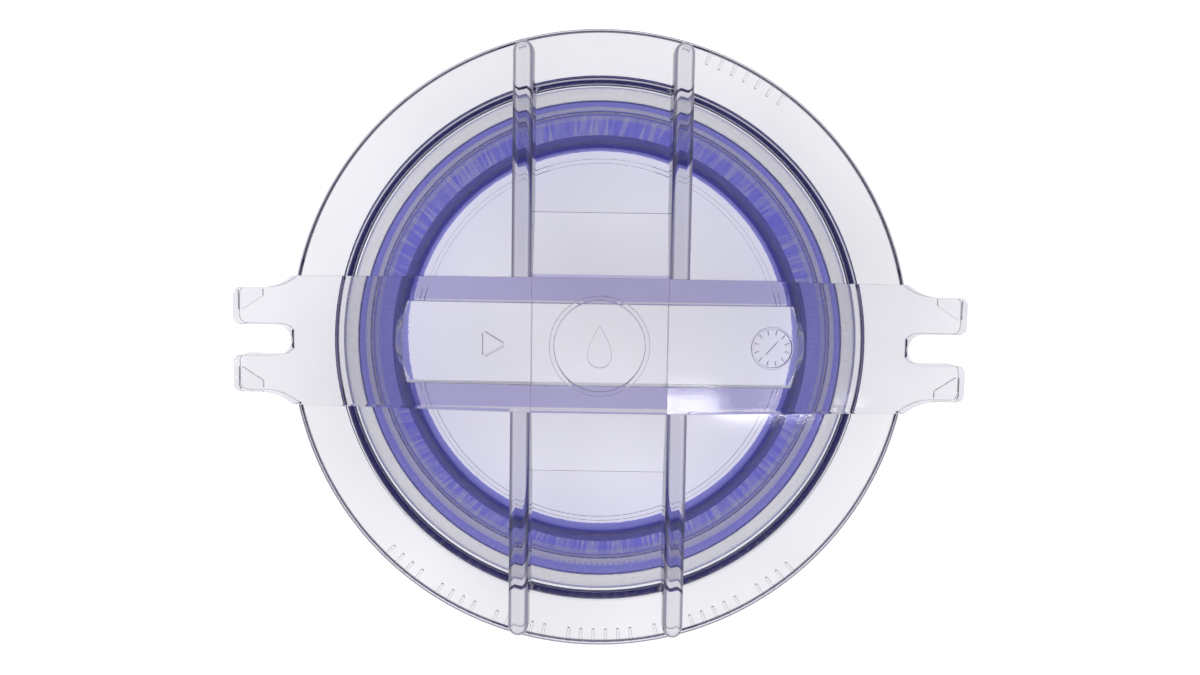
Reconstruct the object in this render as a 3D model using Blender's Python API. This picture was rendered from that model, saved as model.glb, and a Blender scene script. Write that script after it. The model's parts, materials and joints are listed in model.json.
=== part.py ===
"""Strainer cover of a pool pump: one clear moulding with its sealing ring.

Metres, +Z up. The cover stands on its skirt foot at z = 0, the clamp bar runs along X with a
forked ear at each end, and the two stiffening ribs run along Y.
"""

import math

import bmesh
import bpy

MM = 0.001

# Turned body
FLANGE_R = 111.1 * MM
FLANGE_UNDER = 34.0 * MM
FLANGE_TOP = 42.0 * MM
FLANGE_EDGE = 0.8 * MM
DISH_R = 93.0 * MM
DISH_TOP = 36.5 * MM
DISH_DRAFT = 0.5 * MM
SHOULDER_R = 95.5 * MM
SHOULDER_UNDER = 28.5 * MM
WINDOW_UNDER = 29.5 * MM
SKIRT_OUTER_TOP_R = 87.5 * MM
SKIRT_OUTER_FOOT_R = 86.3 * MM
SKIRT_INNER_TOP_R = 76.0 * MM
SKIRT_INNER_FOOT_R = 76.6 * MM
WINDOW_FILLET = 8.0 * MM
FOOT_EDGE = 1.0 * MM
TURN_STEPS = 120

# Clamp bar with its ears
BAR_HALF_WIDTH = 23.9 * MM
BAR_END_HALF_WIDTH = 23.0 * MM
BAR_TOP = 50.0 * MM
PLATEAU_HALF = 24.0 * MM
EAR_FLAT_START = 98.0 * MM
EAR_TOP = 45.0 * MM
EAR_TIP = 130.4 * MM
EAR_HALF_WIDTH = 18.6 * MM
EAR_BLEND_START = 109.3 * MM
EAR_BLEND_END = 121.2 * MM
EAR_CORNER_R = 2.5 * MM
SLOT_WIDTH = 11.1 * MM
SLOT_END = 109.8 * MM
PAD_LENGTH = 7.7 * MM
PAD_WIDTH = 7.6 * MM
PAD_STEPS = (1 / 3, 2 / 3)
PAD_PROUD = 1.0 * MM

# Raised ring on the bar
EMBLEM_R = 17.7 * MM
EMBLEM_WIDTH = 1.8 * MM
EMBLEM_PROUD = 0.7 * MM
EMBLEM_STEPS = 72

# Coring under the bar
HOLLOW_HALF_WIDTH = 15.0 * MM
HOLLOW_HALF_LENGTH = 70.0 * MM
HOLLOW_ROOF_LENGTH = 67.9 * MM
HOLLOW_BOW = 5.1 * MM
HOLLOW_DRAFT = 0.4 * MM
PLATE = 6.5 * MM

# Ribs, level with the bar, and the ramps between them
RIB_X = 27.9 * MM
RIB_THICK = 7.3 * MM
RIB_TIP_Y = 106.0 * MM
RIB_TOP = 49.2 * MM
RAMP_START_Y = 47.1 * MM
RAMP_RISE = 6.0 * MM

# Sealing ring
SEAL_SECTION = 6.35 * MM
SEAL_SIDES = 16
FIT_GAP = 0.3 * MM

# Clear moulding and translucent seal
PLASTIC_COLOUR = (0.80, 0.78, 0.92)
PLASTIC_ROUGHNESS = 0.05
PLASTIC_TRANSMISSION = 0.9
PLASTIC_IOR = 1.585
RUBBER_COLOUR = (0.86, 0.86, 0.88)
RUBBER_ROUGHNESS = 0.35
RUBBER_TRANSMISSION = 0.3
RUBBER_IOR = 1.41
SHARP_DEGREES = 30.0

# How far a joined solid reaches into its neighbour, and the steps of a plan arc
SINK = 3.0 * MM
ARC_STEPS = 8
MERGE_DISTANCE = 0.001 * MM


def clear_scene():
    for old in list(bpy.data.objects):
        bpy.data.objects.remove(old, do_unlink=True)


def material(name, colour, roughness, transmission, ior):
    made = bpy.data.materials.new(name)
    made.use_nodes = True
    shader = made.node_tree.nodes["Principled BSDF"]
    shader.inputs["Base Color"].default_value = (*colour, 1.0)
    shader.inputs["Roughness"].default_value = roughness
    shader.inputs["Metallic"].default_value = 0.0
    shader.inputs["Transmission Weight"].default_value = transmission
    shader.inputs["IOR"].default_value = ior
    return made


def place(name, mesh):
    made = bpy.data.objects.new(name, mesh)
    bpy.context.scene.collection.objects.link(made)
    return made


def finish_mesh(name, work):
    bmesh.ops.remove_doubles(work, verts=work.verts, dist=MERGE_DISTANCE)
    bmesh.ops.recalc_face_normals(work, faces=work.faces)
    mesh = bpy.data.meshes.new(name)
    work.to_mesh(mesh)
    work.free()
    return mesh


def arc(cx, cy, radius, start, end, steps=ARC_STEPS):
    """Points on a circle from start to end, both in degrees and both included."""
    turns = [math.radians(start + (end - start) * i / steps) for i in range(steps + 1)]
    return [(cx + radius * math.cos(t), cy + radius * math.sin(t)) for t in turns]


def turned(name, outline, steps=TURN_STEPS):
    """A solid of revolution about Z from a closed (radius, height) outline."""
    work = bmesh.new()
    points = [work.verts.new((r, 0.0, z)) for r, z in outline]
    edges = [work.edges.new((a, b)) for a, b in zip(points, points[1:])]
    if outline[0][0] > 0.0:
        edges.append(work.edges.new((points[-1], points[0])))
    bmesh.ops.spin(
        work, geom=points + edges, cent=(0, 0, 0), axis=(0, 0, 1),
        angle=math.tau, steps=steps, use_merge=True,
    )
    return place(name, finish_mesh(name, work))


def prism(name, outline, start, end, axis="Z", far_outline=None):
    """A closed outline extruded along an axis, to far_outline where its far end differs."""
    corner = {
        "X": lambda u, v, w: (w, u, v),
        "Y": lambda u, v, w: (u, w, v),
        "Z": lambda u, v, w: (u, v, w),
    }[axis]
    work = bmesh.new()
    near = [work.verts.new(corner(u, v, start)) for u, v in outline]
    far = [work.verts.new(corner(u, v, end)) for u, v in far_outline or outline]
    work.faces.new(near)
    work.faces.new(reversed(far))
    for i in range(len(outline)):
        j = (i + 1) % len(outline)
        work.faces.new((near[i], far[i], far[j], near[j]))
    return place(name, finish_mesh(name, work))


def as_helper(made):
    made.hide_render = True
    made.display_type = "WIRE"
    return made


def combine(target, tool, operation):
    step = target.modifiers.new(f"{operation.lower()}_{tool.name}", "BOOLEAN")
    step.operation = operation
    step.solver = "EXACT"
    step.object = as_helper(tool)


def body_outline():
    """Half section of flange, dish, shoulder and skirt, from the axis round and back to it."""
    return [
        (0.0, DISH_TOP),
        (DISH_R - DISH_DRAFT, DISH_TOP),
        (DISH_R + DISH_DRAFT, FLANGE_TOP),
        (FLANGE_R - FLANGE_EDGE, FLANGE_TOP),
        (FLANGE_R, FLANGE_TOP - FLANGE_EDGE),
        (FLANGE_R, FLANGE_UNDER + FLANGE_EDGE),
        (FLANGE_R - FLANGE_EDGE, FLANGE_UNDER),
        (SHOULDER_R, FLANGE_UNDER),
        (SHOULDER_R, SHOULDER_UNDER),
        (SKIRT_OUTER_TOP_R, SHOULDER_UNDER),
        (SKIRT_OUTER_FOOT_R, FOOT_EDGE),
        (SKIRT_OUTER_FOOT_R - FOOT_EDGE, 0.0),
        (SKIRT_INNER_FOOT_R + FOOT_EDGE, 0.0),
        (SKIRT_INNER_FOOT_R, FOOT_EDGE),
        *arc(
            SKIRT_INNER_TOP_R - WINDOW_FILLET, WINDOW_UNDER - WINDOW_FILLET,
            WINDOW_FILLET, 0.0, 90.0,
        ),
        (0.0, WINDOW_UNDER),
    ]


def prong_outline():
    """The upper half of the right-hand ear in plan, from the slot's end out to the bar's edge."""
    half_slot = SLOT_WIDTH / 2
    drop = BAR_END_HALF_WIDTH - EAR_HALF_WIDTH
    run = EAR_BLEND_END - EAR_BLEND_START
    blend_r = (run * run + drop * drop) / (2 * drop)
    blend_start = math.degrees(math.atan2(blend_r - drop, run))
    return [
        *arc(SLOT_END + half_slot, 0.0, half_slot, 180.0, 90.0),
        *arc(EAR_TIP - EAR_CORNER_R, half_slot + EAR_CORNER_R, EAR_CORNER_R, -90.0, 0.0),
        *arc(EAR_TIP - EAR_CORNER_R, EAR_HALF_WIDTH - EAR_CORNER_R, EAR_CORNER_R, 0.0, 90.0),
        *arc(EAR_BLEND_END, EAR_HALF_WIDTH + blend_r, blend_r, -90.0, -180.0 + blend_start),
    ]


def bar_plan():
    """The whole bar in plan: widest over its plateau, and tapering a little towards both ears."""
    upper_right = [*prong_outline(), (PLATEAU_HALF, BAR_HALF_WIDTH)]
    upper_left = [(-x, y) for x, y in reversed(upper_right)]
    lower_left = [(x, -y) for x, y in reversed(upper_left)][1:]
    lower_right = [(x, -y) for x, y in reversed(upper_right)][:-1]
    return upper_right + upper_left + lower_left + lower_right


def bar_side(base, sink):
    """The bar's long side: ear, slope, plateau, slope, ear, lowered by sink, on a flat base."""
    reach = EAR_TIP + SINK
    return [
        (-reach, base),
        (reach, base),
        (reach, EAR_TOP - sink),
        (EAR_FLAT_START, EAR_TOP - sink),
        (PLATEAU_HALF, BAR_TOP - sink),
        (-PLATEAU_HALF, BAR_TOP - sink),
        (-EAR_FLAT_START, EAR_TOP - sink),
        (-reach, EAR_TOP - sink),
    ]


def make_bar():
    bar = prism("bar", bar_plan(), FLANGE_UNDER, BAR_TOP + SINK)
    wide = BAR_HALF_WIDTH + SINK
    side = prism("bar_side", bar_side(FLANGE_UNDER - SINK, 0.0), -wide, wide, axis="Y")
    combine(bar, side, "INTERSECT")
    return bar


def hollow_outline(half_length, half_width, bow):
    """A rectangle in plan whose two short ends bow outwards."""
    steps = [2 * i / ARC_STEPS - 1 for i in range(ARC_STEPS + 1)]
    end = [(half_length + bow * (1 - step * step), half_width * step) for step in steps]
    return end + [(-x, -y) for x, y in end]


def make_hollow():
    """What is cored out under the bar: bowed at its mouth, straight at its roof."""
    low = WINDOW_UNDER - SINK
    mouth = hollow_outline(HOLLOW_HALF_LENGTH, HOLLOW_HALF_WIDTH, HOLLOW_BOW)
    roof_line = hollow_outline(HOLLOW_ROOF_LENGTH, HOLLOW_HALF_WIDTH - HOLLOW_DRAFT, 0.0)
    hollow = prism("hollow", mouth, low, BAR_TOP, far_outline=roof_line)
    wide = HOLLOW_HALF_WIDTH + SINK
    roof = prism("hollow_roof", bar_side(low - SINK, PLATE), -wide, wide, axis="Y")
    combine(hollow, roof, "INTERSECT")
    return hollow


def make_rib(name, x):
    """A level rib with round ends, standing on the dish and the flange."""
    radius = RIB_THICK / 2
    plan = [
        *arc(x, RIB_TIP_Y - radius, radius, 0.0, 180.0),
        *arc(x, radius - RIB_TIP_Y, radius, 180.0, 360.0),
    ]
    return prism(name, plan, DISH_TOP - SINK, RIB_TOP)


def make_emblem_ring():
    """The plain raised ring on the middle of the bar."""
    half_turn = [
        (EMBLEM_R - EMBLEM_WIDTH, BAR_TOP - SINK),
        (EMBLEM_R - EMBLEM_WIDTH, BAR_TOP + EMBLEM_PROUD),
        (EMBLEM_R, BAR_TOP + EMBLEM_PROUD),
        (EMBLEM_R, BAR_TOP - SINK),
    ]
    return turned("emblem_ring", half_turn, EMBLEM_STEPS)


def make_ramps():
    """The floor between the ribs, rising to the bar from both sides."""
    low = DISH_TOP - SINK
    outline = [
        (-RAMP_START_Y, low),
        (RAMP_START_Y, low),
        (RAMP_START_Y, DISH_TOP),
        (BAR_HALF_WIDTH, DISH_TOP + RAMP_RISE),
        (-BAR_HALF_WIDTH, DISH_TOP + RAMP_RISE),
        (-RAMP_START_Y, DISH_TOP),
    ]
    return prism("ramps", outline, -RIB_X, RIB_X, axis="X")


def make_pad(name, side_x, side_y):
    """The small raised land under one prong's outer corner."""
    outer_x = EAR_TIP - FIT_GAP
    outer_y = EAR_HALF_WIDTH - FIT_GAP
    outline = [
        (outer_x - PAD_LENGTH, outer_y),
        (outer_x - PAD_LENGTH, outer_y - PAD_WIDTH * PAD_STEPS[0]),
        (outer_x - PAD_LENGTH / 2, outer_y - PAD_WIDTH * PAD_STEPS[1]),
        (outer_x, outer_y - PAD_WIDTH),
        *arc(outer_x - EAR_CORNER_R, outer_y - EAR_CORNER_R, EAR_CORNER_R, 0.0, 90.0),
    ]
    placed = [(side_x * x, side_y * y) for x, y in outline]
    return prism(name, placed, FLANGE_UNDER - PAD_PROUD, FLANGE_UNDER + SINK)


def make_cover(plastic):
    cover = turned("strainer_cover", body_outline())
    combine(cover, make_bar(), "UNION")
    for side, word in ((-1, "left"), (1, "right")):
        combine(cover, make_rib(f"rib_{word}", side * RIB_X), "UNION")
    combine(cover, make_ramps(), "UNION")
    combine(cover, make_emblem_ring(), "UNION")
    for side_x in (-1, 1):
        for side_y in (-1, 1):
            pad = make_pad(f"pad_{side_x}_{side_y}".replace("-", "m"), side_x, side_y)
            combine(cover, pad, "UNION")
    combine(cover, make_hollow(), "DIFFERENCE")
    cover.data.materials.append(plastic)
    return cover


def make_seal(rubber):
    """The ring that lies in the corner between the shoulder and the skirt."""
    radius = SEAL_SECTION / 2
    centre_r = SKIRT_OUTER_TOP_R + FIT_GAP + radius
    centre_z = SHOULDER_UNDER - FIT_GAP - radius
    step = 360.0 / SEAL_SIDES
    section = arc(centre_r, centre_z, radius, 360.0, step, SEAL_SIDES - 1)
    seal = turned("cover_o_ring", section)
    seal.data.materials.append(rubber)
    return seal


def main():
    clear_scene()
    plastic = material(
        "clear_polycarbonate", PLASTIC_COLOUR, PLASTIC_ROUGHNESS, PLASTIC_TRANSMISSION, PLASTIC_IOR
    )
    rubber = material(
        "translucent_silicone", RUBBER_COLOUR, RUBBER_ROUGHNESS, RUBBER_TRANSMISSION, RUBBER_IOR
    )
    for made in (make_cover(plastic), make_seal(rubber)):
        made.data.shade_smooth()
        made.data.set_sharp_from_angle(angle=math.radians(SHARP_DEGREES))


main()
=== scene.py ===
"""Looks of the strainer cover: one clear, violet-tinted moulding and its seal, on a pale floor.

Metres, +Z up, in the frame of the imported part: the cover stands on its skirt foot at z = 0, the
bar runs along X and the ribs along Y. The fine moulding and seal replace the plain CAD solids.
"""

import json
import math

import bmesh
import bpy
from mathutils import Matrix, Vector


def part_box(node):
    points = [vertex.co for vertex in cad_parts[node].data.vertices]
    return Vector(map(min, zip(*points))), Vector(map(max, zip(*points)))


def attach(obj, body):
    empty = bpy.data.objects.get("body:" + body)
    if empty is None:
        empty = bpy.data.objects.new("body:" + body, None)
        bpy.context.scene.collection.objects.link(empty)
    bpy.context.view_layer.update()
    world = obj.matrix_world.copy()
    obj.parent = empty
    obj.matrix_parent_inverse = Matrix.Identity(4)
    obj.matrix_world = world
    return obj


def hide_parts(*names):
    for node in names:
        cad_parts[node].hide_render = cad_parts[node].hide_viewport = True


MM = 0.001

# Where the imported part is
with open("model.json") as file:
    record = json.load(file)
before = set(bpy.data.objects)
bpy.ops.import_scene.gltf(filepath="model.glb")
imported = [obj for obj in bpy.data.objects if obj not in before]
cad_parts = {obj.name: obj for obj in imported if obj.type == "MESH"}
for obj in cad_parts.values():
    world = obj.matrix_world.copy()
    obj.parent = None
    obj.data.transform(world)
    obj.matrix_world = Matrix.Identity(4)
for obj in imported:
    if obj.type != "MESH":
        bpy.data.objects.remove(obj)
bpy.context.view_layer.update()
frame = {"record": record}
_, COVER_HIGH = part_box("strainer_cover")
SEAL_LOW, SEAL_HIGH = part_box("cover_o_ring")
MOUNT_Z = {mount["name"]: mount["pos_m"][2] for mount in frame["record"]["mounts"]}

# Turned body
FLANGE_R = COVER_HIGH.y
FLANGE_UNDER = MOUNT_Z["flange_seat"]
FLANGE_THICK = 8.0 * MM
FLANGE_TOP = FLANGE_UNDER + FLANGE_THICK
DISH_R = 93.0 * MM
DISH_DEPTH = 5.5 * MM
DISH_TOP = FLANGE_TOP - DISH_DEPTH
DISH_WALL_LEAN = 0.5 * MM
SHOULDER_R = 95.5 * MM
SHOULDER_DEPTH = 5.5 * MM
SHOULDER_UNDER = FLANGE_UNDER - SHOULDER_DEPTH
WINDOW_THICK = 7.0 * MM
WINDOW_UNDER = DISH_TOP - WINDOW_THICK
SKIRT_OUTER_TOP_R = 87.5 * MM
SKIRT_OUTER_FOOT_R = 86.3 * MM
SKIRT_INNER_TOP_R = 76.0 * MM
SKIRT_INNER_FOOT_R = 76.6 * MM
WINDOW_FILLET = 8.0 * MM
WINDOW_RINGS = (67.0 * MM, 65.4 * MM)
RING_STEP = 0.35 * MM
RING_SLOPE = 0.25 * MM
BROAD_EDGE = 1.0 * MM
MEDIUM_EDGE = 0.8 * MM
FINE_EDGE = 0.6 * MM

# Bar and ears
EMBLEM_PROUD = 0.7 * MM
BAR_TOP = COVER_HIGH.z - EMBLEM_PROUD
BAR_HALF_WIDTH = 23.9 * MM
BAR_END_HALF_WIDTH = 23.0 * MM
PLATEAU_HALF = 24.0 * MM
EAR_TOP = MOUNT_Z["ear_pad_right"]
PLATEAU_LIP = 0.15 * MM
EAR_FLAT_START = 98.0 * MM
EAR_TIP = COVER_HIGH.x
EAR_HALF_WIDTH = 18.6 * MM
EAR_BLEND_START = 109.3 * MM
EAR_BLEND_END = 121.2 * MM
EAR_CORNER_R = 2.5 * MM
SLOT_WIDTH = 11.1 * MM
SLOT_END = 109.8 * MM
BAR_EDGE = 0.6 * MM
BAR_EDGE_STEPS = 3
PAD_LENGTH = 7.7 * MM
PAD_WIDTH = 7.6 * MM
PAD_PROUD = 1.0 * MM

# Coring under the bar
HOLLOW_HALF_WIDTH = 15.0 * MM
HOLLOW_HALF_LENGTH = 70.0 * MM
HOLLOW_ROOF_LENGTH = 67.9 * MM
HOLLOW_BOW = 5.1 * MM
HOLLOW_DRAFT = 0.4 * MM
HOLLOW_EDGE = 1.3 * MM
HOLLOW_EDGE_STEPS = 4
PLATE = 6.5 * MM

# Ribs and ramps
RIB_X = 27.9 * MM
RIB_THICK = 8.0 * MM
RIB_DRAFT = 0.5 * MM
RIB_TIP_Y = 106.0 * MM
RIB_TOP = 49.2 * MM
RIB_CROWN = 2.2 * MM
RIB_CROWN_STEPS = 5
RAMP_START_Y = 47.1 * MM
RAMP_RISE = 6.0 * MM

# Raised marks, all plain
EMBLEM_R = 17.7 * MM
EMBLEM_WIDTH = 1.8 * MM
DROP_SIZE = 8.0 * MM
DROP_WIDTH_SHARE = 0.78
DROP_POINTEDNESS = 1.4
MARK_PROUD = 0.45 * MM
MARK_STROKE = 0.8 * MM
MARK_DRAFT = 0.25 * MM
TRIANGLE_X = -38.5 * MM
TRIANGLE_R = 5.6 * MM
TRIANGLE_GAP_SHARE = 0.13
DIAL_X = 61.0 * MM
DIAL_R = 7.6 * MM
DIAL_TICKS = 12
DIAL_FIRST_TICK = 15.0
TICK_INNER_R = 5.0 * MM
TICK_OUTER_R = 6.2 * MM
POINTER_HALF = 2.8 * MM
POINTER_TURN = 48.0

# Strokes on the flange, with angles in degrees
RIM_STROKE = 1.3 * MM
FRONT_START = 225.5
FRONT_PITCH = 2.45
FRONT_PLACES = 36
FRONT_GAPS = (4, 9, 15, 22, 31)
FRONT_R = 107.4 * MM
FRONT_LENGTH = 4.4 * MM
BACK_START = 54.5
BACK_PITCH = 2.6
BACK_PLACES = 7
BACK_R = 107.6 * MM
BACK_LENGTH = 3.4 * MM

# Sealing ring
SEAL_FLASH = 0.12 * MM
SEAL_FLASH_SHARPNESS = 9.0
SEAL_STEPS = 40

# Fineness of the round shapes
TURN_STEPS = 256
CORNER_STEPS = 5
BODY_CORNER_STEPS = 8
ARC_STEPS = 14
BLEND_STEPS = 8
PAD_CORNER_STEPS = 4
MARK_CORNER_STEPS = 3
EMBLEM_STEPS = 96
DIAL_STEPS = 64
DROP_STEPS = 40

# How far tools reach past the body, and which edges are rounded or stay sharp
SINK = 3.0 * MM
MERGE_DISTANCE = 1e-7
ROUND_ABOVE = math.radians(50.0)
SHARP_ABOVE = math.radians(32.0)
NORMAL_WEIGHT = 80

# Plastic
PLASTIC_IOR = 1.585
CLEAR_TONES = ((0.97, 0.968, 0.975), (0.995, 0.993, 0.995))
BAR_WALL_TINT = (0.47, 0.43, 0.80)
BAR_WALL_SOFTNESS = 0.3 * MM
BAR_WALL_RISE = 1.5 * MM
# Painted shade: fillets and crowns are coloured dark in place of the dark lines that edges of
# clear plastic show
PAINTED_EDGE_SHADE = (0.12, 0.11, 0.17)
# Painted shade with deep tint on the skirt: its violet stands in for the shade at its foot on the
# floor and for the long path down its wall, and the lowered transmission lets that painted colour
# show
SKIRT_TINT_AND_PAINTED_SHADE = (0.15, 0.145, 0.78)
SKIRT_TRANSMISSION = 0.45
SKIRT_SOFTNESS = 0.5 * MM
SKIRT_TINT_AND_PAINTED_SHADE_MARGIN = 0.5 * MM
SKIRT_SATIN_AND_PAINTED_SHADE_MARGIN = -3.5 * MM
SKIRT_REACH_IN = 5.0 * MM
SKIRT_TOP_FADE = (0.4 * MM, 0.1 * MM)
DEPTH_TINT = (0.60, 0.59, 0.67)
DEPTH_DENSITY = 55.0

# Silicone
SILICONE_IOR = 1.41
SILICONE_TRANSMISSION = 0.9
SILICONE_TONES = ((0.90, 0.90, 0.93), (0.94, 0.94, 0.96))

# Studio
FLOOR_HALF = 4.0
FLOOR_TONES = ((0.90, 0.90, 0.90), (0.92, 0.92, 0.92))
FLOOR_ROUGHNESS = 0.8
FLOOR_GLOW = (0.66, 0.82)
ROOM_STRENGTH = 1.1
KEY_PLACE = (0.265, -0.19, 1.2)
KEY_SIZE = (0.15, 0.03)
KEY_WATTS = 0.2
KEY_AIM = (0.0, 0.0, -1.0)
FILL_PLACE = (-0.9, 0.7, 1.1)
FILL_SIZE = (0.9, 0.6)
FILL_WATTS = 1.6

# Grey of the room by the sine of the elevation, from the horizon up
ROOM = (
    (0.00, 0.9),
    (0.20, 0.9),
    (0.36, 0.35),
    (0.40, 0.35),
    (0.44, 0.5),
    (0.93, 0.5),
    (0.965, 0.015),
)

# Camera, with its lens and sensor in millimetres and its turns in degrees
SENSOR_WIDTH = 36.0
LENS = 28.57
CAMERA_PLACE = (0.0001, 0.0281, 0.3826)
CAMERA_TILT = -4.3
CAMERA_ROLL = 0.9
CLIP_START = 0.01
BOUNCES = 24
GLOSSY_BOUNCES = 12


def place(name, mesh):
    made = bpy.data.objects.new(name, mesh)
    bpy.context.scene.collection.objects.link(made)
    return made


def finish_mesh(name, work):
    bmesh.ops.remove_doubles(work, verts=work.verts, dist=MERGE_DISTANCE)
    bmesh.ops.recalc_face_normals(work, faces=work.faces)
    mesh = bpy.data.meshes.new(name)
    work.to_mesh(mesh)
    work.free()
    return mesh


def arc(cx, cy, radius, start, end, steps=ARC_STEPS):
    """Points on a circle from start to end, both in degrees and both included."""
    turns = [math.radians(start + (end - start) * i / steps) for i in range(steps + 1)]
    return [(cx + radius * math.cos(t), cy + radius * math.sin(t)) for t in turns]


def rounded(corners, steps=CORNER_STEPS):
    """An outline through (u, v, radius) corners, each one turned into an arc of its radius."""
    outline = []
    for i, (u, v, radius) in enumerate(corners):
        corner = Vector((u, v))
        if radius == 0.0:
            outline.append((u, v))
            continue
        back = (Vector(corners[i - 1][:2]) - corner).normalized()
        ahead = (Vector(corners[(i + 1) % len(corners)][:2]) - corner).normalized()
        half = back.angle(ahead) / 2
        centre = corner + (back + ahead).normalized() * (radius / math.sin(half))
        start = corner + back * (radius / math.tan(half)) - centre
        end = corner + ahead * (radius / math.tan(half)) - centre
        turn = start.angle(end) * (1 if start.cross(end) > 0 else -1)
        for step in range(steps + 1):
            point = centre + Matrix.Rotation(turn * step / steps, 2) @ start
            outline.append((point.x, point.y))
    return outline


def turned(name, outline, steps=TURN_STEPS):
    """A solid of revolution about Z from a (radius, height) outline."""
    work = bmesh.new()
    points = [work.verts.new((r, 0.0, z)) for r, z in outline]
    edges = [work.edges.new((a, b)) for a, b in zip(points, points[1:])]
    if outline[0][0] > 0.0:
        edges.append(work.edges.new((points[-1], points[0])))
    bmesh.ops.spin(
        work, geom=points + edges, cent=(0, 0, 0), axis=(0, 0, 1),
        angle=math.tau, steps=steps, use_merge=True,
    )
    return place(name, finish_mesh(name, work))


def prism(name, near, start, end, axis="Z", far=None):
    """A closed outline extruded along an axis, to the outline far where its far end differs."""
    corner = {
        "X": lambda u, v, w: (w, u, v),
        "Y": lambda u, v, w: (u, w, v),
        "Z": lambda u, v, w: (u, v, w),
    }[axis]
    work = bmesh.new()
    low = [work.verts.new(corner(u, v, start)) for u, v in near]
    high = [work.verts.new(corner(u, v, end)) for u, v in far or near]
    work.faces.new(low)
    work.faces.new(reversed(high))
    for i in range(len(low)):
        j = (i + 1) % len(low)
        work.faces.new((low[i], high[i], high[j], low[j]))
    return place(name, finish_mesh(name, work))


def combine(target, tool, operation):
    step = target.modifiers.new(operation.lower(), "BOOLEAN")
    step.operation = operation
    step.solver = "EXACT"
    step.object = tool


def soften(target, width, segments):
    """Rounds the edges that turn by more than ROUND_ABOVE."""
    step = target.modifiers.new("soften", "BEVEL")
    step.width = width
    step.segments = segments
    step.limit_method = "ANGLE"
    step.angle_limit = ROUND_ABOVE


def settle(target, *tools):
    """Applies target's modifiers and removes the tools that they used."""
    bpy.context.view_layer.update()
    graph = bpy.context.evaluated_depsgraph_get()
    mesh = bpy.data.meshes.new_from_object(target.evaluated_get(graph))
    target.modifiers.clear()
    target.data = mesh
    for tool in tools:
        bpy.data.objects.remove(tool, do_unlink=True)
    return target


def joined(name, pieces):
    """Separate closed bodies gathered into one object."""
    work = bmesh.new()
    for piece in pieces:
        piece.data.transform(piece.matrix_world)
        work.from_mesh(piece.data)
        bpy.data.objects.remove(piece, do_unlink=True)
    mesh = bpy.data.meshes.new(name)
    work.to_mesh(mesh)
    work.free()
    return place(name, mesh)


def window_steps():
    """The fine concentric steps round the window's underside, and on to the axis."""
    height = WINDOW_UNDER
    outline = []
    for radius in WINDOW_RINGS:
        outline.append((radius, height, 0.0))
        height += RING_STEP
        outline.append((radius - RING_SLOPE, height, 0.0))
    return [*outline, (0.0, height, 0.0)]


def body_outline():
    """Half section of flange, dish, shoulder and skirt, from the axis round and back to it."""
    return rounded([
        (0.0, DISH_TOP, 0.0),
        (DISH_R - DISH_WALL_LEAN, DISH_TOP, BROAD_EDGE),
        (DISH_R + DISH_WALL_LEAN, FLANGE_TOP, FINE_EDGE),
        (FLANGE_R, FLANGE_TOP, BROAD_EDGE),
        (FLANGE_R, FLANGE_UNDER, MEDIUM_EDGE),
        (SHOULDER_R, FLANGE_UNDER, FINE_EDGE),
        (SHOULDER_R, SHOULDER_UNDER, MEDIUM_EDGE),
        (SKIRT_OUTER_TOP_R, SHOULDER_UNDER, BROAD_EDGE),
        (SKIRT_OUTER_FOOT_R, 0.0, BROAD_EDGE),
        (SKIRT_INNER_FOOT_R, 0.0, BROAD_EDGE),
        (SKIRT_INNER_TOP_R, WINDOW_UNDER, WINDOW_FILLET),
        *window_steps(),
    ], BODY_CORNER_STEPS)


def bar_plan():
    """The bar from above: widest over its plateau, with a forked ear at each end."""
    half_slot = SLOT_WIDTH / 2
    drop = BAR_END_HALF_WIDTH - EAR_HALF_WIDTH
    run = EAR_BLEND_END - EAR_BLEND_START
    blend_r = (run * run + drop * drop) / (2 * drop)
    blend_start = math.degrees(math.atan2(blend_r - drop, run))
    tip = EAR_TIP - EAR_CORNER_R
    upper_right = [
        *arc(SLOT_END + half_slot, 0.0, half_slot, 180.0, 90.0),
        *arc(tip, half_slot + EAR_CORNER_R, EAR_CORNER_R, -90.0, 0.0, CORNER_STEPS),
        *arc(tip, EAR_HALF_WIDTH - EAR_CORNER_R, EAR_CORNER_R, 0.0, 90.0, CORNER_STEPS),
        *arc(EAR_BLEND_END, EAR_HALF_WIDTH + blend_r, blend_r,
             -90.0, -180.0 + blend_start, BLEND_STEPS),
        (PLATEAU_HALF, BAR_HALF_WIDTH),
    ]
    upper_left = [(-x, y) for x, y in reversed(upper_right)]
    lower_left = [(x, -y) for x, y in reversed(upper_left)][1:]
    lower_right = [(x, -y) for x, y in reversed(upper_right)][:-1]
    return upper_right + upper_left + lower_left + lower_right


def bar_side(base, sink):
    """The bar's long side, lowered by sink: ear, slope, plateau, slope, ear, on a flat base."""
    reach = EAR_TIP + SINK
    return [
        (-reach, base),
        (reach, base),
        (reach, EAR_TOP - sink),
        (EAR_FLAT_START, EAR_TOP - sink),
        (PLATEAU_HALF + PLATEAU_LIP, BAR_TOP - PLATEAU_LIP - sink),
        (PLATEAU_HALF, BAR_TOP - sink),
        (-PLATEAU_HALF, BAR_TOP - sink),
        (-PLATEAU_HALF - PLATEAU_LIP, BAR_TOP - PLATEAU_LIP - sink),
        (-EAR_FLAT_START, EAR_TOP - sink),
        (-reach, EAR_TOP - sink),
    ]


def make_bar():
    bar = prism("bar", bar_plan(), FLANGE_UNDER, BAR_TOP + SINK)
    wide = BAR_HALF_WIDTH + SINK
    side = prism("bar_side", bar_side(FLANGE_UNDER - SINK, 0.0), -wide, wide, "Y")
    combine(bar, side, "INTERSECT")
    soften(bar, BAR_EDGE, BAR_EDGE_STEPS)
    return settle(bar, side)


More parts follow.
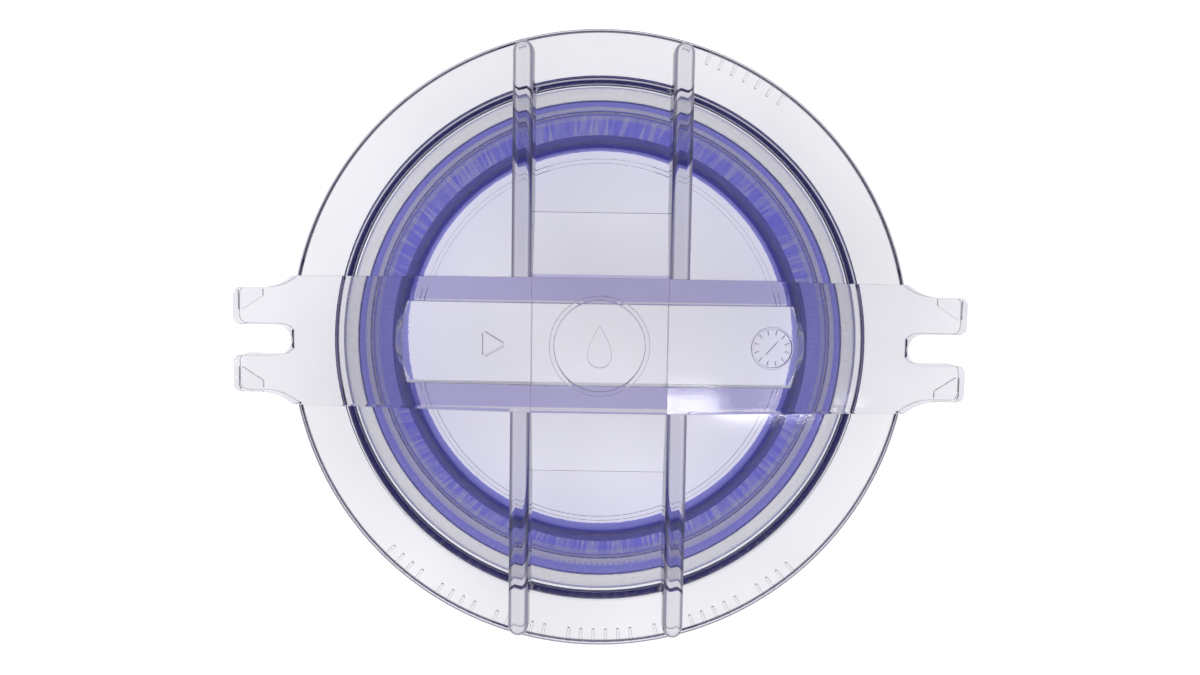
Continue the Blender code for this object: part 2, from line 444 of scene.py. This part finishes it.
def hollow_outline(length, half_width, bow):
    """A rectangle in plan whose two short ends bow outwards."""
    steps = [2 * i / ARC_STEPS - 1 for i in range(ARC_STEPS + 1)]
    end = [(length + bow * (1 - s * s), half_width * s) for s in steps]
    return end + [(-x, -y) for x, y in end]


def make_hollow():
    """The well under the bar: bowed at its mouth, straight at its roof, a plate below the top."""
    low = WINDOW_UNDER - SINK
    mouth = hollow_outline(HOLLOW_HALF_LENGTH, HOLLOW_HALF_WIDTH, HOLLOW_BOW)
    roof_line = hollow_outline(HOLLOW_ROOF_LENGTH, HOLLOW_HALF_WIDTH - HOLLOW_DRAFT, 0.0)
    hollow = prism("hollow", mouth, low, BAR_TOP, far=roof_line)
    wide = HOLLOW_HALF_WIDTH + SINK
    roof = prism("hollow_roof", bar_side(low - SINK, PLATE), -wide, wide, "Y")
    combine(hollow, roof, "INTERSECT")
    soften(hollow, HOLLOW_EDGE, HOLLOW_EDGE_STEPS)
    return settle(hollow, roof)


def rib_plan(x, grow):
    half = RIB_THICK / 2
    return [
        *arc(x, RIB_TIP_Y - half, half + grow, 0.0, 180.0),
        *arc(x, half - RIB_TIP_Y, half + grow, 180.0, 360.0),
    ]


def make_rib(name, x):
    """A level rib with round ends, a little draft and a crowned top."""
    foot = rib_plan(x, 0.0)
    crest = rib_plan(x, -RIB_DRAFT)
    rib = prism(name, foot, DISH_TOP - SINK, RIB_TOP, far=crest)
    soften(rib, RIB_CROWN, RIB_CROWN_STEPS)
    return settle(rib)


def make_ramps():
    """The floor between the ribs, stepping up a little and then rising to the bar."""
    low = DISH_TOP - SINK
    top = DISH_TOP + RAMP_RISE
    foot = RAMP_START_Y + RING_SLOPE
    outline = [
        (-foot, low),
        (foot, low),
        (foot, DISH_TOP),
        (RAMP_START_Y, DISH_TOP + RING_STEP),
        (BAR_HALF_WIDTH, top),
        (-BAR_HALF_WIDTH, top),
        (-RAMP_START_Y, DISH_TOP + RING_STEP),
        (-foot, DISH_TOP),
    ]
    return prism("ramps", outline, -RIB_X, RIB_X, "X")


def make_pad(side_x, side_y):
    """The small raised land under one prong's outer corner."""
    outer_x = EAR_TIP - BAR_EDGE
    outer_y = EAR_HALF_WIDTH - BAR_EDGE
    outline = [
        (outer_x - PAD_LENGTH, outer_y),
        (outer_x - PAD_LENGTH, outer_y - PAD_WIDTH / 3),
        (outer_x - PAD_LENGTH / 2, outer_y - PAD_WIDTH * 2 / 3),
        (outer_x, outer_y - PAD_WIDTH),
        *arc(outer_x - EAR_CORNER_R, outer_y - EAR_CORNER_R, EAR_CORNER_R,
             0.0, 90.0, PAD_CORNER_STEPS),
    ]
    placed = [(side_x * x, side_y * y) for x, y in outline]
    return prism("pad", placed, FLANGE_UNDER - PAD_PROUD, FLANGE_UNDER + SINK)


def bead(name, radius, width, height, steps):
    """A raised round-topped ring on z = 0, lying on the XY plane."""
    outline = rounded([
        (radius - width, -MARK_PROUD, 0.0),
        (radius, -MARK_PROUD, 0.0),
        (radius, height, height * 0.6),
        (radius - width, height, height * 0.6),
    ], MARK_CORNER_STEPS)
    return turned(name, outline, steps)


def strip(name, start, end, width):
    """A raised straight stroke on z = 0 between two points."""
    a, b = Vector(start), Vector(end)
    along = (b - a).normalized() * (width / 2)
    side = Vector((-along.y, along.x))
    outlines = []
    for share in (1.0, 1.0 - 2 * MARK_DRAFT / width):
        u, v = along * share, side * share
        corners = [a - u - v, b + u - v, b + u + v, a - u + v]
        radius = width * share * 0.45
        outlines.append(rounded([(p.x, p.y, radius) for p in corners], MARK_CORNER_STEPS))
    return prism(name, outlines[0], -MARK_PROUD, MARK_PROUD, far=outlines[1])


def direction(degrees):
    turn = math.radians(degrees)
    return Vector((math.cos(turn), math.sin(turn)))


def drop_outline(size):
    """A plain water drop, pointing up."""
    turns = [math.tau * i / DROP_STEPS for i in range(DROP_STEPS)]
    wide = size * DROP_WIDTH_SHARE
    return [
        (wide * math.sin(t) * math.sin(t / 2) ** DROP_POINTEDNESS, size * math.cos(t))
        for t in turns
    ]


def on_bar(piece, x, y=0.0):
    """Moves a mark from the XY plane onto the bar's top, sloping with it away from the middle."""
    slope = (BAR_TOP - EAR_TOP) / (EAR_FLAT_START - PLATEAU_HALF)
    beyond = max(0.0, abs(x) - PLATEAU_HALF)
    turn = math.atan(slope) * math.copysign(1.0, x) if beyond else 0.0
    piece.matrix_world = (
        Matrix.Translation((x, y, BAR_TOP - slope * beyond)) @ Matrix.Rotation(turn, 4, "Y")
    )
    return piece


def emblem_marks():
    """A raised ring on the plateau with a plain drop in it."""
    ring = bead("emblem_ring", EMBLEM_R, EMBLEM_WIDTH, EMBLEM_PROUD, EMBLEM_STEPS)
    crest = drop_outline(DROP_SIZE - 2 * MARK_DRAFT)
    drop = prism("drop", drop_outline(DROP_SIZE), -MARK_PROUD, MARK_PROUD, far=crest)
    return [on_bar(ring, 0.0), on_bar(drop, 0.0)]


def triangle_marks():
    """A plain triangle of three raised strokes on the left slope."""
    tips = [direction(120.0 * i) * TRIANGLE_R for i in range(3)]
    made = []
    for i, tip in enumerate(tips):
        start = tip.lerp(tips[i - 1], TRIANGLE_GAP_SHARE)
        end = tip.lerp(tips[i - 1], 1.0 - TRIANGLE_GAP_SHARE)
        made.append(strip("triangle", start, end, MARK_STROKE))
    return [on_bar(piece, TRIANGLE_X) for piece in made]


def dial_marks():
    """A plain dial on the right slope: a ring, twelve ticks and a pointer."""
    made = [bead("dial", DIAL_R, MARK_STROKE, MARK_PROUD, DIAL_STEPS)]
    for i in range(DIAL_TICKS):
        way = direction(360.0 / DIAL_TICKS * i + DIAL_FIRST_TICK)
        made.append(strip("tick", way * TICK_INNER_R, way * TICK_OUTER_R, MARK_STROKE))
    way = direction(POINTER_TURN)
    made.append(strip("pointer", way * -POINTER_HALF, way * POINTER_HALF, MARK_STROKE))
    return [on_bar(piece, DIAL_X) for piece in made]


def rim_marks():
    """Two arcs of plain raised strokes on the flange, where the moulding carries small marks."""
    made = []
    front = [i for i in range(FRONT_PLACES) if i not in FRONT_GAPS]
    rows = [(FRONT_START + FRONT_PITCH * i, FRONT_R, FRONT_LENGTH / 2) for i in front]
    rows += [(BACK_START + BACK_PITCH * i, BACK_R, BACK_LENGTH / 2) for i in range(BACK_PLACES)]
    for degrees, radius, half in rows:
        way = direction(degrees)
        made.append(strip("stroke", way * (radius - half), way * (radius + half), RIM_STROKE))
    for piece in made:
        piece.matrix_world = Matrix.Translation((0.0, 0.0, FLANGE_TOP))
    return made


def make_cover():
    cover = turned("moulded_cover", body_outline())
    tools = [make_bar(), make_ramps()]
    tools += [make_rib(f"rib_{word}", side * RIB_X) for side, word in ((-1, "left"), (1, "right"))]
    tools.append(joined("pads", [make_pad(sx, sy) for sx in (-1, 1) for sy in (-1, 1)]))
    for tool in tools:
        combine(cover, tool, "UNION")
    hollow = make_hollow()
    combine(cover, hollow, "DIFFERENCE")
    settle(cover, hollow, *tools)
    bpy.context.view_layer.update()
    marks = joined("marks", emblem_marks() + triangle_marks() + dial_marks() + rim_marks())
    combine(cover, marks, "UNION")
    settle(cover, marks)
    cover.data.shade_smooth()
    cover.data.set_sharp_from_angle(angle=SHARP_ABOVE)
    weigh = cover.modifiers.new("even_normals", "WEIGHTED_NORMAL")
    weigh.keep_sharp = True
    weigh.weight = NORMAL_WEIGHT
    return settle(cover)


def make_seal():
    """The sealing ring, with the fine parting line that a moulded ring has round its outside."""
    radius = (SEAL_HIGH.z - SEAL_LOW.z) / 2
    centre_r = SEAL_HIGH.x - radius
    centre_z = (SEAL_HIGH.z + SEAL_LOW.z) / 2
    outline = []
    for i in range(SEAL_STEPS):
        turn = math.tau * i / SEAL_STEPS
        ridge = SEAL_FLASH * max(0.0, 1.0 - abs(math.sin(turn)) * SEAL_FLASH_SHARPNESS)
        reach = radius - SEAL_FLASH + ridge
        outline.append((centre_r + reach * math.cos(turn), centre_z + reach * math.sin(turn)))
    seal = turned("silicone_o_ring", outline)
    seal.data.shade_smooth()
    return seal


class Nodes:
    """A material's node tree, with short calls to add and wire nodes."""

    MIX_COLOUR_SOCKETS = (6, 7)
    MIX_COLOUR_RESULT = 2

    def __init__(self, name):
        self.material = bpy.data.materials.new(name)
        self.material.use_nodes = True
        self.tree = self.material.node_tree
        self.shader = self.tree.nodes["Principled BSDF"]
        self.output = self.tree.nodes["Material Output"]
        self.place = self.add("ShaderNodeTexCoord").outputs["Object"]

    def add(self, kind, **settings):
        node = self.tree.nodes.new(kind)
        for key, value in settings.items():
            setattr(node, key, value)
        return node

    def wire(self, source, target):
        self.tree.links.new(source, target)

    def noise(self, scale, detail=3.0, stretch=None):
        node = self.add("ShaderNodeTexNoise")
        node.inputs["Scale"].default_value = scale
        node.inputs["Detail"].default_value = detail
        source = self.place
        if stretch:
            mapping = self.add("ShaderNodeMapping")
            mapping.inputs["Scale"].default_value = stretch
            self.wire(source, mapping.inputs["Vector"])
            source = mapping.outputs["Vector"]
        self.wire(source, node.inputs["Vector"])
        return node.outputs["Fac"]

    def spread(self, source, low, high, start=0.3, end=0.7):
        node = self.add("ShaderNodeMapRange")
        node.inputs["From Min"].default_value = start
        node.inputs["From Max"].default_value = end
        node.inputs["To Min"].default_value = low
        node.inputs["To Max"].default_value = high
        self.wire(source, node.inputs["Value"])
        return node.outputs["Result"]

    def blend_colours(self, source, low, high):
        """From low to high by source, each one a colour or the socket of one."""
        node = self.add("ShaderNodeMix", data_type="RGBA")
        self.wire(source, node.inputs["Factor"])
        for colour, number in zip((low, high), self.MIX_COLOUR_SOCKETS):
            if isinstance(colour, tuple):
                node.inputs[number].default_value = (*colour, 1.0)
            else:
                self.wire(colour, node.inputs[number])
        return node.outputs[self.MIX_COLOUR_RESULT]

    def math(self, operation, *sources):
        node = self.add("ShaderNodeMath", operation=operation)
        for source, socket in zip(sources, node.inputs):
            self.wire(source, socket)
        return node.outputs["Value"]

    def product(self, first, *others):
        for other in others:
            first = self.math("MULTIPLY", first, other)
        return first

    def rise(self, source, start, end):
        """Zero up to start, one from end on."""
        return self.spread(source, 0.0, 1.0, start, end)

    def fall(self, source, start, end):
        """One up to start, zero from end on."""
        return self.spread(source, 1.0, 0.0, start, end)

    def axes(self, vector):
        split = self.add("ShaderNodeSeparateXYZ")
        self.wire(vector, split.inputs["Vector"])
        return split.outputs

    def bump(self, height, strength, distance, below=None):
        node = self.add("ShaderNodeBump")
        node.inputs["Strength"].default_value = strength
        node.inputs["Distance"].default_value = distance
        self.wire(height, node.inputs["Height"])
        if below:
            self.wire(below, node.inputs["Normal"])
        return node.outputs["Normal"]


def skirt_mask(made, outer):
    """Where the skirt's painted shade and deep tint go: one on the skirt and the fillet above it,
    out to the radius outer, zero elsewhere.
    """
    x, y, z = made.axes(made.place)
    radius = made.math("SQRT", made.math("ADD", made.product(x, x), made.product(y, y)))
    inner = SKIRT_INNER_TOP_R - SKIRT_REACH_IN
    fade_start, fade_end = (WINDOW_UNDER - drop for drop in SKIRT_TOP_FADE)
    return made.product(
        made.rise(radius, inner - SKIRT_SOFTNESS, inner),
        made.fall(radius, outer - SKIRT_SOFTNESS, outer),
        made.fall(z, fade_start, fade_end),
    )


def bar_wall_mask(made):
    """One on the window's underside below the two solid walls of the bar, zero elsewhere."""
    x, y, z = made.axes(made.place)
    along = made.math("ABSOLUTE", x)
    across = made.math("ABSOLUTE", y)
    soft = BAR_WALL_SOFTNESS
    end = SKIRT_INNER_TOP_R - WINDOW_FILLET
    low = WINDOW_UNDER + BAR_WALL_RISE
    return made.product(
        made.fall(along, end - soft, end),
        made.rise(across, HOLLOW_HALF_WIDTH, HOLLOW_HALF_WIDTH + soft),
        made.fall(across, BAR_HALF_WIDTH - soft, BAR_HALF_WIDTH),
        made.fall(z, low, low + soft),
    )


def painted_edge_shade_mask(made):
    """Where the painted edge shade goes: one on fillets and crowns, zero on level and upright
    faces.
    """
    normal = made.add("ShaderNodeNewGeometry").outputs["Normal"]
    _, _, z = made.axes(normal)
    tilt = made.math("ABSOLUTE", z)
    return made.product(made.rise(tilt, 0.08, 0.25), made.fall(tilt, 0.80, 0.96))


def clear_plastic():
    """Moulded polycarbonate: tinted through its depth and by place, with painted shade on its
    fillets, crowns and skirt, and with ripple and scuffs.
    """
    made = Nodes("clear_polycarbonate")
    shader = made.shader
    shader.inputs["IOR"].default_value = PLASTIC_IOR
    tone = made.blend_colours(made.noise(22.0), *CLEAR_TONES)
    tone = made.blend_colours(bar_wall_mask(made), tone, BAR_WALL_TINT)
    # Painted shade: dark colour on fillets and crowns for the edge lines
    tone = made.blend_colours(painted_edge_shade_mask(made), tone, PAINTED_EDGE_SHADE)
    # Painted shade and deep tint on the skirt, shown through lowered transmission below
    skirt = skirt_mask(made, SKIRT_OUTER_TOP_R + SKIRT_TINT_AND_PAINTED_SHADE_MARGIN)
    tone = made.blend_colours(skirt, tone, SKIRT_TINT_AND_PAINTED_SHADE)
    made.wire(tone, shader.inputs["Base Color"])
    inner_skirt = skirt_mask(made, SKIRT_OUTER_TOP_R + SKIRT_SATIN_AND_PAINTED_SHADE_MARGIN)
    through = made.spread(inner_skirt, 1.0, SKIRT_TRANSMISSION, 0.0, 1.0)
    made.wire(through, shader.inputs["Transmission Weight"])
    scuffs = made.spread(made.noise(160.0, 6.0, (1.0, 7.0, 1.0)), 0.01, 0.07, 0.5, 0.78)
    satin = made.product(inner_skirt, made.spread(made.noise(90.0), 0.34, 0.42))
    made.wire(made.math("ADD", scuffs, satin), shader.inputs["Roughness"])
    ripple = made.bump(made.noise(60.0, 2.0), 0.12, 0.05 * MM)
    skin = made.bump(made.noise(1500.0, 2.0), 0.3, 0.03 * MM, ripple)
    made.wire(skin, shader.inputs["Normal"])
    tint = made.add("ShaderNodeVolumeAbsorption")
    tint.inputs["Color"].default_value = (*DEPTH_TINT, 1.0)
    tint.inputs["Density"].default_value = DEPTH_DENSITY
    made.wire(tint.outputs["Volume"], made.output.inputs["Volume"])
    return made.material


def silicone():
    """Translucent silicone with a dusty, slightly uneven skin."""
    made = Nodes("translucent_silicone")
    shader = made.shader
    shader.inputs["Transmission Weight"].default_value = SILICONE_TRANSMISSION
    shader.inputs["IOR"].default_value = SILICONE_IOR
    tone = made.blend_colours(made.noise(120.0, 4.0), *SILICONE_TONES)
    made.wire(tone, shader.inputs["Base Color"])
    made.wire(made.spread(made.noise(500.0, 4.0), 0.26, 0.34), shader.inputs["Roughness"])
    made.wire(made.bump(made.noise(900.0), 0.1, 0.01 * MM), shader.inputs["Normal"])
    return made.material


def make_floor():
    """A pale floor that glows a little, as a light table does under clear goods."""
    work = bmesh.new()
    bmesh.ops.create_grid(work, x_segments=1, y_segments=1, size=FLOOR_HALF)
    floor = place("floor", finish_mesh("floor", work))
    made = Nodes("pale_floor")
    tone = made.blend_colours(made.noise(3.0), *FLOOR_TONES)
    made.wire(tone, made.shader.inputs["Base Color"])
    made.shader.inputs["Roughness"].default_value = FLOOR_ROUGHNESS
    made.shader.inputs["Emission Color"].default_value = (1.0, 1.0, 1.0, 1.0)
    glow = made.spread(made.noise(9.0, 2.0), *FLOOR_GLOW)
    made.wire(glow, made.shader.inputs["Emission Strength"])
    floor.data.materials.append(made.material)


def softbox(name, position, size, watts, aim):
    light = bpy.data.lights.new(name, "AREA")
    light.shape = "RECTANGLE"
    light.size, light.size_y = size
    light.energy = watts
    made = bpy.data.objects.new(name, light)
    bpy.context.scene.collection.objects.link(made)
    made.location = position
    made.rotation_euler = aim.to_track_quat("-Z", "Y").to_euler()


def light_studio():
    """A room that is pale all round and dark overhead, with two soft boxes."""
    world = bpy.data.worlds.new("studio")
    world.use_nodes = True
    bpy.context.scene.world = world
    tree = world.node_tree
    where = tree.nodes.new("ShaderNodeTexCoord")
    split = tree.nodes.new("ShaderNodeSeparateXYZ")
    ramp = tree.nodes.new("ShaderNodeValToRGB")
    tree.links.new(where.outputs["Generated"], split.inputs["Vector"])
    tree.links.new(split.outputs["Z"], ramp.inputs["Fac"])
    tree.links.new(ramp.outputs["Color"], tree.nodes["Background"].inputs["Color"])
    stops = ramp.color_ramp.elements
    stops.remove(stops[1])
    for i, (position, grey) in enumerate(ROOM):
        stop = stops[0] if i == 0 else stops.new(position)
        stop.position = position
        stop.color = (grey, grey, grey, 1.0)
    tree.nodes["Background"].inputs["Strength"].default_value = ROOM_STRENGTH
    softbox("key", KEY_PLACE, KEY_SIZE, KEY_WATTS, Vector(KEY_AIM))
    softbox("fill", FILL_PLACE, FILL_SIZE, FILL_WATTS, -Vector(FILL_PLACE))


def place_camera():
    """Above the cover and a little behind it, looking down, with the bar across the view."""
    lens = bpy.data.cameras.new("camera")
    lens.sensor_width = SENSOR_WIDTH
    lens.lens = LENS
    lens.clip_start = CLIP_START
    camera = bpy.data.objects.new("camera", lens)
    bpy.context.scene.collection.objects.link(camera)
    tilt = Matrix.Rotation(math.radians(CAMERA_TILT), 4, "X")
    roll = Matrix.Rotation(math.radians(CAMERA_ROLL), 4, "Z")
    camera.matrix_world = Matrix.Translation(CAMERA_PLACE) @ tilt @ roll
    bpy.context.scene.camera = camera


def set_render():
    scene = bpy.context.scene
    scene.view_settings.view_transform = "Standard"
    scene.cycles.max_bounces = BOUNCES
    scene.cycles.transmission_bounces = BOUNCES
    scene.cycles.glossy_bounces = GLOSSY_BOUNCES
    scene.cycles.caustics_refractive = True
    scene.cycles.caustics_reflective = True


def main():
    place_camera()
    cover = make_cover()
    cover.data.materials.clear()
    cover.data.materials.append(clear_plastic())
    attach(cover, "root")
    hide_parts("strainer_cover")
    seal = make_seal()
    seal.data.materials.append(silicone())
    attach(seal, "root")
    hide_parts("cover_o_ring")
    make_floor()
    light_studio()
    set_render()


main()
